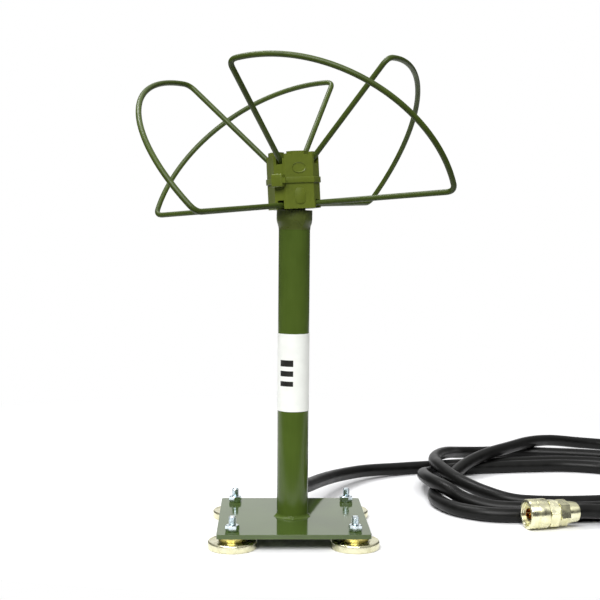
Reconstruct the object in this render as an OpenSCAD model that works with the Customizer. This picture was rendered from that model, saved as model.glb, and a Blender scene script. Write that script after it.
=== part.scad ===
// Four-lobe cloverleaf antenna: a welded mast on a plate with four pot magnets, a leaning
// head with four bent wire loops, and a coaxial lead that ends in a screw-on plug.
// Millimetres, +Z up. The origin is on the mast's axis, at the level the magnets stand on.

/* [Base] */
// Side of the square base plate
plate_side = 100; // [96:1:120]
// Thickness of the base plate
plate_t = 3; // [2:0.5:5]
// Radius of the plate's corners
plate_corner_r = 2; // [1:0.5:6]
// Distance between neighbouring studs
stud_spacing = 80; // [76:1:84]
// Diameter of the M5 studs
stud_d = 5; // [4:0.5:6]
// Length of stud that stands above the plate
stud_above = 9.7; // [7:0.1:14]
// Width of the hexagon nuts across their flats
nut_af = 8; // [7.5:0.5:10]
// Height of the hexagon nuts
nut_h = 4; // [3:0.5:5]

/* [Magnets] */
// Outer diameter of a pot magnet
magnet_d = 32; // [25:1:36]
// Height of a pot magnet
magnet_h = 5; // [4:0.5:8]
// Wall thickness of the steel pot
pot_wall = 2; // [1.5:0.5:3]
// Diameter of the plated washer under the plate
washer_d = 18; // [14:1:22]
// Thickness of that washer
washer_t = 3; // [2:0.5:4]

/* [Mast] */
// Outer diameter of the mast tube
mast_d = 21.3; // [20:0.1:26]
// Wall thickness of the mast tube
mast_wall = 2.6; // [2:0.1:2.7]
// Height of the mast's upper end above the floor
mast_top = 219; // [180:1:260]
// Height of the cable hole's centre above the floor
hole_z = 25; // [24:0.5:40]
// Radius of the weld bead's foot, measured from the mast
weld_leg = 2; // [1.5:0.1:5]
// Height of the label band's lower edge
label_z = 84; // [50:1:120]
// Height of the label band
label_h = 52.6; // [20:0.1:60]
// Thickness of the label band
label_t = 0.2; // [0.1:0.1:0.5]

/* [Head] */
// Side of the square hub, across its flats
hub_side = 31.3; // [30:0.1:36]
// Height of the hub
hub_h = 38; // [36:0.5:44]
// Length cut off each corner of the hub, along its side
hub_cut = 6; // [5:0.5:8]
// Depth by which the hub's corners sit below its top
hub_step = 2.4; // [1:0.1:4]
// Width of the slots that the wires lie in
slot_w = 4.8; // [4.8:0.1:6]
// Angle by which the hub leans to the left
hub_lean = 3.2; // [0:0.1:4]
// Angle by which the wire cage leans to the left
wire_lean = 4.2; // [0:0.1:5]
// Diameter of the shrink sleeve under the hub
sleeve_d = 24.3; // [23:0.1:26]
// Length of the shrink sleeve
sleeve_h = 13; // [8:1:20]

/* [Loops] */
// Diameter of the loop wire
wire_d = 3.7; // [2:0.1:4]
// Direction of the first loop's lower leg, seen from above
loop_turn = -31.4; // [-60:0.1:0]
// Slope of the loops' planes
loop_tilt = 50; // [40:1:60]
// Radius of the loops' long curved side
arc_r = 100.3; // [95:0.1:105]
// Size of the rounded corners at both ends of that side
corner = 6; // [4:0.5:10]

/* [Lead] */
// Diameter of the coaxial lead
cable_d = 10.3; // [8:0.1:10.4]
// Diameter of the plug's coupling nut
coupling_d = 20.8; // [20:0.1:21]
// Length of the coupling nut
coupling_l = 14.2; // [13:0.1:16]
// Distance from the plug's open face to the end of its clamp nut
plug_l = 38; // [36:1:42]
// Direction in which the lead leaves the plug, seen from above
plug_yaw = 11; // [0:1:20]

/* [Hidden] */

$fn = 64;
eps = 0.01;

// Heights in the base's stack, from the floor up
plate_z = magnet_h + washer_t;
plate_top = plate_z + plate_t;
stud_top = plate_top + stud_above;
half_spacing = stud_spacing / 2;
stud_hole_d = stud_d + 0.3;
disc_gap = 0.8;
pot_roof = 1.6;

mast_r = mast_d / 2;
mast_bore = mast_r - mast_wall;
cable_r = cable_d / 2;
hole_r = cable_r + 1.45;
grommet_face = 13;
riser_bend = 5.5;

// The hub's frame stands on this point, just above the sleeve
hub_base = 220.6;
hub_turn = loop_turn - 45;
hub_spigot_r = 7.4;
hub_spigot_l = 9;
hub_bore = 6;
hub_well_r = 7;
// The wires lean more than the hub, so each upper slot is turned to follow its own wire
upper_slot_turns = [1.2, 4.5, 6.2, 0.5];

// The wire cage's frame: its origin is where the four lower legs meet the axis
cage_origin = [-0.4, 0, 223.7];
wire_r = wire_d / 2;
solder_r = 7.5;
arc_centre = [17, 16.4];
arc_start = -9.4;
arc_end = 98;
arc_steps = 28;
corner_steps = 6;
wire_sides = 12;
// Angle by which each loop has sagged, in the order front right, back right, back left, front left
loop_sags = [0, 0, 0, 1.7];
// Upper legs run from the loop's top corner to this height on the axis
apex_z = 13.1;
apex_gap = 4;

// Plug
plug_face = [163, 4, 10.5];
plug_axis = [cos(plug_yaw), sin(plug_yaw), 0];
thread_r = 7.95;
barrel_r = 6;
run_gap = 0.05;
collar_w = 9.8;
groove_w = 11.4;
groove_l = 1.2;
barrel_front = 6;
hex_w = 14.6;
hex_l = 7;
neck_l = 0.8;
clamp_hex_l = 7.6;
// The two hexagons stop at these angles, wherever the assembler's spanner left them
hex_turn = 20;
clamp_turn = 42;

// Centreline of the free lead, from the grommet to the end of the plug
lead_sides = 10;
lead_route = concat([
    [0, grommet_face, hole_z], [0, 19, hole_z], [5, 34, 22.5], [13, 56, 19], [24, 88, 15.5], [40, 124, 11.5],
    [64, 157, 8], [94, 177, 5.6], [128, 188, 5.3], [165, 197, 5.3], [205, 205, 5.3],
    [245, 209, 5.3], [283, 199, 5.3], [309, 173, 5.3], [318, 136, 5.3], [309, 98, 5.3],
    [284, 66, 5.3], [250, 48, 5.3], [212, 40, 5.3], [178, 40, 5.3], [151, 44, 5.3],
    [131, 54, 8.5], [117, 68, 14.5], [109, 86, 15.9], [107, 108, 15], [110, 130, 11.5],
    [117, 150, 8], [129, 167, 6], [147, 179, 5.3], [175, 185, 5.3], [208, 190, 5.3],
    [243, 192, 5.3], [275, 180, 5.3], [296, 152, 5.3], [298, 118, 5.3], [281, 86, 5.3],
    [250, 66, 5.3], [210, 59, 5.3], [172, 62, 5.6], [149, 77, 9], [131, 101, 14],
    [123, 127, 17.5], [122, 153, 18], [129, 178, 17.2], [141, 203, 14.5], [156, 229, 9.5],
    [177, 247, 6], [205, 253, 5.3], [240, 247, 5.3], [283, 236, 5.3], [320, 210, 5.3],
    [342, 168, 5.3], [343, 122, 5.3], [326, 80, 5.3], [292, 48, 5.3], [246, 32, 5.3],
    [200, 26, 5.3], [162, 22, 5.3], [139, 25.5, 5.3], [120, 41, 5.3], [111, 65, 5.3],
    [112, 88, 5.3], [121, 115, 5.3], [134, 142, 7], [152, 167, 12.6], [173, 188, 16.3],
    [198, 217, 16.2], [223, 245, 15.9], [250, 272, 12.5], [282, 287, 7.5], [316, 284, 5.3],
    [345, 262, 5.3], [363, 226, 5.3], [370, 184, 5.3], [368, 142, 5.3], [357, 101, 5.3],
    [334, 63, 5.3], [298, 34, 5.5], [248, 18, 7.5]],
    [plug_face + (plug_l + 9) * plug_axis, plug_face + plug_l * plug_axis]);

paint_green = "#3c5a20";
steel_grey = "#a9adb0";
zinc_white = "#c3cbd2";
zinc_yellow = "#c9b04a";
nickel_gold = "#d8cc98";
solder_grey = "#8f9497";
jacket_black = "#1b1b1c";
rubber_black = "#242424";
poly_white = "#e8e6df";
copper = "#b5713f";

// ---- swept tubes ----

function unit(v) = v / norm(v);

function heading(path, i) =
    unit(path[min(i + 1, len(path) - 1)] - path[max(i - 1, 0)]);

function ring_points(centre, along, r, sides, up) =
    let (side = unit(cross(along, up)), top = cross(side, along))
    [for (k = [0:sides - 1]) centre + r * (cos(360 * k / sides) * side + sin(360 * k / sides) * top)];

// A round tube of radius r along a path that never runs parallel to up
module swept_tube(path, r, sides, up) {
    last = len(path) - 1;
    points = [for (i = [0:last]) each ring_points(path[i], heading(path, i), r, sides, up)];
    walls = [for (i = [0:last - 1], k = [0:sides - 1])
        let (a = i * sides + k, b = i * sides + (k + 1) % sides)
        each [[a, b, b + sides], [a, b + sides, a + sides]]];
    start_cap = [for (k = [sides - 1:-1:0]) k];
    end_cap = [for (k = [0:sides - 1]) last * sides + k];
    polyhedron(points, concat([start_cap], walls, [end_cap]));
}

function bend(a, b, c, steps) =
    [for (k = [0:steps]) let (t = k / steps) pow(1 - t, 2) * a + 2 * t * (1 - t) * b + t * t * c];

// ---- placing ----

module at_corner(sx, sy) {
    translate([sx * half_spacing, sy * half_spacing, 0]) children();
}

module in_hub() {
    translate([0, 0, hub_base]) rotate([0, -hub_lean, 0]) children();
}

module in_cage() {
    translate(cage_origin) rotate([0, -wire_lean, 0]) children();
}

module in_plug() {
    translate(plug_face) rotate([0, 0, plug_yaw]) rotate([0, 90, 0]) children();
}

module tube(r_out, r_in, h) {
    difference() {
        cylinder(r = r_out, h = h);
        translate([0, 0, -1]) cylinder(r = r_in, h = h + 2);
    }
}

// Hexagon prism with its corners turned off at both ends
module hexagon(af, h, chamfer) {
    corner_r = af / sqrt(3);
    intersection() {
        cylinder(r = corner_r, h = h, $fn = 6);
        rotate_extrude() polygon([[0, 0], [corner_r - chamfer, 0], [corner_r, chamfer / 2],
            [corner_r, h - chamfer / 2], [corner_r - chamfer, h], [0, h]]);
    }
}

// ---- base ----

module base_plate() {
    reach = plate_side / 2 - plate_corner_r;
    color(paint_green) difference() {
        union() {
            translate([-reach, -plate_side / 2, plate_z]) cube([2 * reach, plate_side, plate_t]);
            translate([-plate_side / 2, -reach, plate_z]) cube([plate_side, 2 * reach, plate_t]);
            for (sx = [-1, 1], sy = [-1, 1])
                translate([sx * reach, sy * reach, plate_z]) cylinder(r = plate_corner_r, h = plate_t);
        }
        for (sx = [-1, 1], sy = [-1, 1])
            at_corner(sx, sy) translate([0, 0, plate_z - 1]) cylinder(d = stud_hole_d, h = plate_t + 2);
    }
}

// Steel cup that carries the magnet, open towards the floor
module magnet_pot(sx, sy) {
    color(nickel_gold) at_corner(sx, sy) rotate_extrude() polygon([
        [magnet_d / 2 - pot_wall, 0], [magnet_d / 2 - 0.4, 0], [magnet_d / 2, 0.4],
        [magnet_d / 2, magnet_h - 0.8], [magnet_d / 2 - 0.8, magnet_h], [0, magnet_h],
        [0, magnet_h - pot_roof], [magnet_d / 2 - pot_wall, magnet_h - pot_roof]]);
}

module magnet_disc(sx, sy) {
    color(steel_grey) at_corner(sx, sy)
        cylinder(r = magnet_d / 2 - pot_wall - disc_gap, h = magnet_h - pot_roof);
}

module washer(sx, sy) {
    color(zinc_yellow) at_corner(sx, sy) translate([0, 0, magnet_h])
        tube(washer_d / 2, stud_hole_d / 2, washer_t);
}

// Stud that rises from the pot's roof, with a turned-off tip
module stud(sx, sy) {
    tip = 0.8;
    color(zinc_white) at_corner(sx, sy) rotate_extrude() polygon([[0, magnet_h], [stud_d / 2, magnet_h],
        [stud_d / 2, stud_top - tip], [stud_d / 2 - tip, stud_top], [0, stud_top]]);
}

module nut(sx, sy) {
    color(zinc_white) at_corner(sx, sy) translate([0, 0, plate_top]) difference() {
        hexagon(nut_af, nut_h, 0.6);
        translate([0, 0, -1]) cylinder(d = stud_d, h = nut_h + 2);
    }
}

// ---- mast ----

module mast_tube() {
    color(paint_green) difference() {
        translate([0, 0, plate_top]) cylinder(r = mast_r, h = mast_top - plate_top);
        translate([0, 0, plate_top - 1]) cylinder(r = mast_bore, h = mast_top - plate_top + 2);
        translate([0, 0, hole_z]) rotate([-90, 0, 0]) cylinder(r = hole_r, h = mast_r + 2);
    }
}

// Fillet weld all round the mast's foot
module weld_bead() {
    color(paint_green) translate([0, 0, plate_top]) rotate_extrude()
        polygon([[mast_r, 0], [mast_r + weld_leg, 0], [mast_r + 0.7 * weld_leg, 0.35 * weld_leg],
            [mast_r + 0.35 * weld_leg, 0.7 * weld_leg], [mast_r, weld_leg]]);
}

module label_band() {
    color("#dcdcda") translate([0, 0, label_z]) tube(mast_r + label_t, mast_r, label_h);
}

// Rubber bush that lines the cable hole, with a lip that sits on the curved wall
module cable_grommet() {
    color(rubber_black) difference() {
        union() {
            translate([0, mast_bore - 1, hole_z]) rotate([-90, 0, 0])
                cylinder(r = hole_r, h = grommet_face - mast_bore + 1);
            difference() {
                translate([0, 6, hole_z]) rotate([-90, 0, 0])
                    cylinder(r = hole_r + 1.6, h = grommet_face - 6);
                translate([0, 0, hole_z - 20]) cylinder(r = mast_r, h = 40);
            }
        }
        translate([0, 0, hole_z]) rotate([-90, 0, 0]) cylinder(r = cable_r, h = 20);
    }
}

// Lead inside the mast: through the grommet, round a bend and up to the head
module riser_cable() {
    top = hub_base - 3.6;
    color(jacket_black) {
        translate([0, riser_bend, hole_z]) rotate([-90, 0, 0])
            cylinder(r = cable_r, h = grommet_face - riser_bend);
        translate([0, riser_bend, hole_z + riser_bend]) rotate([0, -90, 0]) rotate([0, 0, 180])
            rotate_extrude(angle = 90) translate([riser_bend, 0]) circle(r = cable_r);
        translate([0, 0, hole_z + riser_bend]) cylinder(r = cable_r, h = top - hole_z - riser_bend);
    }
}

// Shrink sleeve over the joint, drawn in at its lower end
module shrink_sleeve() {
    sleeve_r = sleeve_d / 2;
    color(paint_green) translate([0, 0, hub_base - 0.9 - sleeve_h]) rotate_extrude()
        polygon([[mast_r, 0], [mast_r + 0.4, 0], [sleeve_r - 0.5, 5], [sleeve_r, 8],
            [sleeve_r, sleeve_h], [mast_r, sleeve_h]]);
}

// ---- head ----

module hub_outline(grow) {
    flat = hub_side / 2 + grow;
    edge = hub_side / 2 - hub_cut + grow * tan(22.5);
    polygon([[edge, -flat], [flat, -edge], [flat, edge], [edge, flat],
        [-edge, flat], [-flat, edge], [-flat, -edge], [-edge, -flat]]);
}

// Clearance for one upper leg: a channel along the leg, open towards the top
module upper_slot() {
    slope = atan2(wire_rise(), 1);
    translate([0, 0, apex_z + cage_origin.z - hub_base - 0.7]) rotate([0, -slope, 0])
        translate([0, -slot_w / 2, -wire_r - 1]) cube([50, slot_w, 30]);
}

module lower_slot() {
    translate([0, -slot_w / 2, -1]) cube([30, slot_w, 6.7]);
}

module hub_body() {
    corner_face = hub_side / sqrt(2) - hub_cut / sqrt(2);
    color(paint_green) in_hub() rotate([0, 0, hub_turn]) difference() {
        union() {
            linear_extrude(hub_h) hub_outline(0);
            translate([0, 0, -hub_spigot_l]) cylinder(r = hub_spigot_r, h = hub_spigot_l + 1);
        }
        translate([0, 0, -hub_spigot_l - 1]) cylinder(r = hub_bore, h = hub_spigot_l + 3);
        translate([0, 0, 0.6]) cylinder(r = solder_r + 1.2, h = 11);
        translate([0, 0, 11]) cylinder(r = hub_well_r, h = hub_h);
        for (i = [0:3]) rotate([0, 0, 45 + 90 * i]) {
            rotate([0, 0, upper_slot_turns[i]]) upper_slot();
            lower_slot();
            translate([corner_face - 4.2, -10, hub_h - hub_step]) cube([20, 20, hub_step + 1]);
        }
    }
}

// Resin plug that closes the well over the soldered joint
module hub_seal() {
    color("#2b3a1a") in_hub() translate([0, 0, hub_h - 8]) cylinder(r = hub_well_r - 0.1, h = 5.5);
}

// Nylon tie round the hub: strap, head and the stub of its cut tail
module cable_tie() {
    strap_t = 0.8;
    strap_h = 4;
    head = [4.6, 8.4, 8.6];
    corner_face = hub_side / sqrt(2) - hub_cut / sqrt(2);
    color(paint_green) in_hub() translate([0, 0, 16.8]) rotate([0, 0, hub_turn]) {
        linear_extrude(strap_h) difference() {
            hub_outline(strap_t);
            hub_outline(0.05);
        }
        rotate([0, 0, -45]) translate([corner_face + 0.1, -head.y / 2, (strap_h - head.z) / 2]) cube(head);
    }
}

// ---- loops ----

function in_plane(u, v) = [u, -v * cos(loop_tilt), v * sin(loop_tilt)];
function on_arc(a) = in_plane(arc_centre.x + arc_r * cos(a), arc_centre.y + arc_r * sin(a));

lower_end = [solder_r, 0, 0];
outer_corner = on_arc(arc_start);
top_corner = on_arc(arc_end);
leg_run = unit([top_corner.x, top_corner.y]);
upper_end = [0, 0, apex_z] + apex_gap * unit(top_corner - [0, 0, apex_z]);
corner_turn = corner / arc_r * 180 / PI;

function wire_rise() = (top_corner.z - apex_z) / norm([top_corner.x, top_corner.y]);

loop_path = concat(
    [lower_end],
    bend(outer_corner - [corner, 0, 0], outer_corner, on_arc(arc_start + corner_turn), corner_steps),
    [for (k = [1:arc_steps - 1])
        on_arc(arc_start + corner_turn + (arc_end - arc_start - 2 * corner_turn) * k / arc_steps)],
    bend(on_arc(arc_end - corner_turn), top_corner,
        top_corner + corner * unit(upper_end - top_corner), corner_steps),
    [upper_end]);

module wire_loop(quarter) {
    color(paint_green) in_cage() rotate([0, 0, loop_turn + 90 * quarter]) rotate([0, loop_sags[quarter], 0])
        swept_tube(loop_path, wire_r, wire_sides, [0, sin(loop_tilt), cos(loop_tilt)]);
}

// Ring of solder and braid that joins the four lower legs
module shield_ring() {
    color(solder_grey) in_cage() translate([0, 0, -1.8]) tube(solder_r, 4.4, 3.6);
}

// Stripped lead inside the head: braid, then white insulation
module riser_core() {
    color(poly_white) in_cage() {
        translate([0, 0, -6]) cylinder(r = 3.9, h = 8);
        translate([0, 0, 2 - eps]) cylinder(r = 3.5, h = 6.5);
    }
}

module riser_conductor() {
    color(copper) in_cage() translate([0, 0, 8.5]) cylinder(r = 1.3, h = 2);
}

// Bead of solder where the four upper legs meet the centre conductor
module centre_solder() {
    color(solder_grey) in_cage() translate([0, 0, 10.5]) difference() {
        cylinder(r = 4.2, h = 5.6);
        for (i = [0:3]) rotate([0, 0, loop_turn + 90 * i]) translate([0, 0, apex_z - 10.5])
            rotate([0, -atan2(wire_rise(), 1), 0]) rotate([0, 90, 0]) translate([0, 0, apex_gap - 0.6])
                cylinder(r = wire_r + 0.4, h = 10);
    }
}

// ---- lead and plug ----

module lead_cable() {
    color(jacket_black) swept_tube(lead_route, cable_r, lead_sides, [0, 0, 1]);
}

// Outer conductor of the plug: barrel, snap-ring groove and wrench hexagon
module plug_body() {
    color(nickel_gold) in_plug() difference() {
        union() {
            translate([0, 0, barrel_front]) cylinder(r = barrel_r, h = hex_w - barrel_front + 0.5);
            translate([0, 0, hex_w]) rotate([0, 0, hex_turn]) hexagon(18, hex_l, 1);
            translate([0, 0, hex_w + hex_l - eps]) cylinder(r = 8, h = neck_l + eps);
        }
        translate([0, 0, barrel_front - 1]) cylinder(r = 4.15, h = 6);
        translate([0, 0, 10]) cylinder(r = 5.2, h = 20);
        translate([0, 0, groove_w]) tube(barrel_r + 1, barrel_r - 0.6, groove_l);
    }
}

// Nut that turns freely on the barrel and screws on to the socket
module coupling_nut() {
    r = coupling_d / 2;
    color(nickel_gold) in_plug() difference() {
        rotate_extrude() polygon([[0, 0], [r - 0.8, 0], [r, 0.8], [r, 5.4], [r - 0.35, 5.7],
            [r - 0.35, 6.2], [r, 6.5], [r, coupling_l - 0.8], [r - 0.8, coupling_l], [0, coupling_l]]);
        translate([0, 0, -1]) cylinder(r = thread_r, h = collar_w + 1);
        translate([0, 0, -1]) cylinder(r = barrel_r + run_gap, h = coupling_l + 2);
        translate([0, 0, groove_w]) cylinder(r = barrel_r + 0.9, h = groove_l);
    }
}

// Split spring ring that keeps the nut on the barrel
module retaining_ring() {
    color(steel_grey) in_plug() translate([0, 0, groove_w + 0.1]) difference() {
        tube(barrel_r + 0.8, barrel_r - 0.55, groove_l - 0.2);
        translate([0, -0.6, -1]) cube([10, 1.2, 4]);
    }
}

module plug_gasket() {
    color("#8a3a22") in_plug() translate([0, 0, 8.4]) tube(7.6, barrel_r, 1.2);
}

// Slotted outer contact
module contact_sleeve() {
    color(nickel_gold) in_plug() difference() {
        translate([0, 0, 1.6]) tube(4.15, 3.5, 9.4);
        for (a = [0, 45, 90, 135]) rotate([0, 0, a]) translate([-6, -0.2, 0]) cube([12, 0.4, 6]);
    }
}

module plug_insulator() {
    color(poly_white) in_plug() translate([0, 0, 8]) tube(3.45, 1.55, 8);
}

// Centre contact with a rounded tip
module centre_pin() {
    color("#d0a24c") in_plug() rotate_extrude() polygon([[0, 2.4], [0.4, 2.5], [0.83, 3.4],
        [0.83, 7.2], [1.5, 7.8], [1.5, 18], [0, 18]]);
}

// Trimmed end of the lead inside the plug
module plug_cable_end() {
    inner_w = 19;
    jacket_w = 24;
    color(jacket_black) in_plug() {
        translate([0, 0, inner_w]) cylinder(r = 3.5, h = jacket_w - inner_w + eps);
        translate([0, 0, jacket_w]) cylinder(r = cable_r, h = plug_l - jacket_w);
    }
}

// Clamp nut that grips the jacket: hexagon, then a tapered collar
module clamp_nut() {
    start = hex_w + hex_l + neck_l;
    taper = start + clamp_hex_l;
    color(nickel_gold) in_plug() difference() {
        union() {
            translate([0, 0, start]) rotate([0, 0, clamp_turn]) hexagon(16, clamp_hex_l, 0.9);
            rotate_extrude() polygon([[0, taper - 1], [7.8, taper - 1], [7.8, taper],
                [6.7, plug_l - 1], [6.3, plug_l], [0, plug_l]]);
        }
        translate([0, 0, start - 1]) cylinder(r = cable_r + 0.05, h = plug_l);
    }
}

base_plate();
mast_tube();
weld_bead();
label_band();
magnet_pot(-1, -1);  // magnet_pot_front_left
magnet_pot(1, -1);  // magnet_pot_front_right
magnet_pot(-1, 1);  // magnet_pot_back_left
magnet_pot(1, 1);  // magnet_pot_back_right
magnet_disc(-1, -1);  // magnet_disc_front_left
magnet_disc(1, -1);  // magnet_disc_front_right
magnet_disc(-1, 1);  // magnet_disc_back_left
magnet_disc(1, 1);  // magnet_disc_back_right
washer(-1, -1);  // washer_front_left
washer(1, -1);  // washer_front_right
washer(-1, 1);  // washer_back_left
washer(1, 1);  // washer_back_right
stud(-1, -1);  // stud_front_left
stud(1, -1);  // stud_front_right
stud(-1, 1);  // stud_back_left
stud(1, 1);  // stud_back_right
nut(-1, -1);  // nut_front_left
nut(1, -1);  // nut_front_right
nut(-1, 1);  // nut_back_left
nut(1, 1);  // nut_back_right
cable_grommet();
riser_cable();
shrink_sleeve();
hub_body();
hub_seal();
cable_tie();
wire_loop(0);  // loop_front_right
wire_loop(1);  // loop_back_right
wire_loop(2);  // loop_back_left
wire_loop(3);  // loop_front_left
shield_ring();
riser_core();
riser_conductor();
centre_solder();
lead_cable();
plug_body();
coupling_nut();
retaining_ring();
plug_gasket();
contact_sleeve();
plug_insulator();
centre_pin();
plug_cable_end();
clamp_nut();
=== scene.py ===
# %% [markdown]
# # A cloverleaf antenna on a magnetic foot
#
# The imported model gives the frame: every node's place and size, and the one joint. Here each
# visible piece gets the shape and the finish that its maker gave it. All of it is in metres, in
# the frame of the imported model, so nothing has to be fitted afterwards.

# %% Load the frame
import math

import bmesh
import bpy
from mathutils import Matrix, Vector, noise


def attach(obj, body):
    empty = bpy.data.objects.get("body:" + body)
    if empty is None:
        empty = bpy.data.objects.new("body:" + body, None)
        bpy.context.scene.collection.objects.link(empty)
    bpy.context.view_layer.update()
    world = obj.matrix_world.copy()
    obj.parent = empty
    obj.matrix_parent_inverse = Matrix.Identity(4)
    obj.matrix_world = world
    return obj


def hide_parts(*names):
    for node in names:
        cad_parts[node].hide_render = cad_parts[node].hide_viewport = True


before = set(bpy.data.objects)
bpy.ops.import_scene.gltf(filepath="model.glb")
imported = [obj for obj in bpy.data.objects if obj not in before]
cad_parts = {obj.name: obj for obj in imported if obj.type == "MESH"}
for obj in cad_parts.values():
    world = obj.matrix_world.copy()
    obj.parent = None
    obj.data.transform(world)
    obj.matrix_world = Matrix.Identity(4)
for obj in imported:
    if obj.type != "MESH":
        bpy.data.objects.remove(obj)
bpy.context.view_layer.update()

MM = 0.001
ANTENNA = "antenna"
NUT_BODY = "coupling_nut"

# %% [markdown]
# ## Camera
#
# A portrait lens at two thirds of the antenna's height, 75 cm in front of it and 2 cm to its left.
# It leans down by three degrees, so that the plate shows its upper face. Its axes are worked out
# from those angles and become the columns of the camera's matrix.

# %% Camera
CAMERA_PLACE = Vector((-0.0212, -0.7459, 0.2024))
CAMERA_YAW, CAMERA_PITCH, CAMERA_ROLL = 0.034, 0.058, 0.008

ahead = Vector((math.sin(CAMERA_YAW) * math.cos(CAMERA_PITCH),
                math.cos(CAMERA_YAW) * math.cos(CAMERA_PITCH), -math.sin(CAMERA_PITCH)))
level = Vector((math.cos(CAMERA_YAW), -math.sin(CAMERA_YAW), 0))
rise = level.cross(ahead)
across = math.cos(CAMERA_ROLL) * level + math.sin(CAMERA_ROLL) * rise
upward = math.cos(CAMERA_ROLL) * rise - math.sin(CAMERA_ROLL) * level

camera = bpy.data.objects.new("camera", bpy.data.cameras.new("camera"))
camera.data.lens = 66.05
camera.data.sensor_width = 36
camera.data.clip_start, camera.data.clip_end = 0.01, 50
camera.matrix_world = Matrix.Translation(CAMERA_PLACE) @ Matrix(
    (across, upward, -ahead)).transposed().to_4x4()
bpy.context.scene.collection.objects.link(camera)
bpy.context.scene.camera = camera
print("camera looks along", [round(x, 3) for x in ahead])

# %% [markdown]
# ## Colours and nodes
#
# Paint charts give colours as sRGB hex values, while a shader works in linear light, so one
# function turns the one into the other. A second one adds a node, sets it up and links it, which
# keeps each recipe below short enough to read.

# %% Two helpers for finishes
def linear(hex_colour):
    """An sRGB hex colour as linear RGBA."""
    channels = [int(hex_colour[i:i + 2], 16) / 255 for i in (1, 3, 5)]
    return tuple(c / 12.92 if c <= 0.04045 else ((c + 0.055) / 1.055) ** 2.4
                 for c in channels) + (1.0,)


def add(tree, kind, inputs=None, **settings):
    """Adds a node: settings are its own properties, inputs its sockets' values or links."""
    made = tree.nodes.new(kind)
    for name, value in settings.items():
        setattr(made, name, value)
    for socket, value in (inputs or {}).items():
        if isinstance(value, bpy.types.NodeSocket):
            tree.links.new(value, made.inputs[socket])
        else:
            made.inputs[socket].default_value = value
    return made


MIX_A, MIX_B, MIX_COLOUR = 6, 7, 2    # a Mix node's colour sockets, which share names with others


def new_finish(name):
    """An empty material, and its node tree with a surface shader and object coordinates."""
    material = bpy.data.materials.new(name)
    material.use_nodes = True
    tree = material.node_tree
    tree.nodes.clear()
    shader = add(tree, "ShaderNodeBsdfPrincipled")
    add(tree, "ShaderNodeOutputMaterial", {"Surface": shader.outputs["BSDF"]})
    place = add(tree, "ShaderNodeTexCoord").outputs["Object"]
    return material, tree, shader, place


print("paint green in linear light:", [round(c, 3) for c in linear("#4a5b20")])

# %% [markdown]
# ## Enamel, brushed on
#
# Mast, plate, head and wires carry one olive green alkyd enamel, put on with a brush. Enamel flows
# out, so it is glossy and mirrors what is behind it at a low angle, but the hairs leave shallow
# ridges in the direction of the stroke, and the film is a little thicker here and there. The first
# noise makes cloudy patches of two near greens, the second, stretched along the stroke, the ridges.
# Real ridges are 0.2 mm apart. They are drawn 1.2 to 3 mm apart, so that they can be seen. Each
# kind of piece has its own stroke, gloss, green and index, matched to the real one. Enamel's own
# index is about 1.5, and a lower one makes a piece mirror less of the room.

# %% The green enamel, for each kind of piece
PATCH, SAG = 22 * MM, 5.5 * MM      # how wide the cloudy patches are, and where the film has sagged


def brushed_enamel(name, stroke, ridge, depth, gloss, thin, thick, ior=1.5):
    """Enamel whose ridges are `ridge` metres apart; stroke squeezes the noise along each axis."""
    material, tree, shader, place = new_finish(name)
    patches = add(tree, "ShaderNodeTexNoise", {"Vector": place, "Scale": 1 / PATCH, "Detail": 3.0})
    along = add(tree, "ShaderNodeMapping", {"Vector": place, "Scale": stroke})
    ridges = add(tree, "ShaderNodeTexNoise",
                 {"Vector": along.outputs["Vector"], "Scale": 1 / ridge, "Detail": 3.0,
                  "Roughness": 0.45})
    sag = add(tree, "ShaderNodeTexNoise", {"Vector": place, "Scale": 1 / SAG, "Detail": 1.0})
    film = add(tree, "ShaderNodeMath", {0: ridges.outputs["Fac"], 1: 0.4,
                                        2: patches.outputs["Fac"]}, operation="MULTIPLY_ADD")
    share = add(tree, "ShaderNodeMapRange", {"Value": film.outputs[0], "From Min": 0.45,
                                             "From Max": 0.95})
    colour = add(tree, "ShaderNodeMix", {0: share.outputs["Result"], MIX_A: linear(thin),
                                         MIX_B: linear(thick)}, data_type="RGBA")
    shine = add(tree, "ShaderNodeMapRange", {"Value": patches.outputs["Fac"], "From Min": 0.3,
                                             "From Max": 0.7, "To Min": gloss[0],
                                             "To Max": gloss[1]})
    swell = add(tree, "ShaderNodeBump", {"Height": sag.outputs["Fac"], "Strength": 0.5,
                                         "Distance": depth * 2})
    bump = add(tree, "ShaderNodeBump", {"Height": ridges.outputs["Fac"], "Strength": 0.6,
                                        "Distance": depth, "Normal": swell.outputs["Normal"]})
    tree.links.new(colour.outputs[MIX_COLOUR], shader.inputs["Base Color"])
    tree.links.new(shine.outputs["Result"], shader.inputs["Roughness"])
    tree.links.new(bump.outputs["Normal"], shader.inputs["Normal"])
    shader.inputs["IOR"].default_value = ior
    return material


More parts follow.
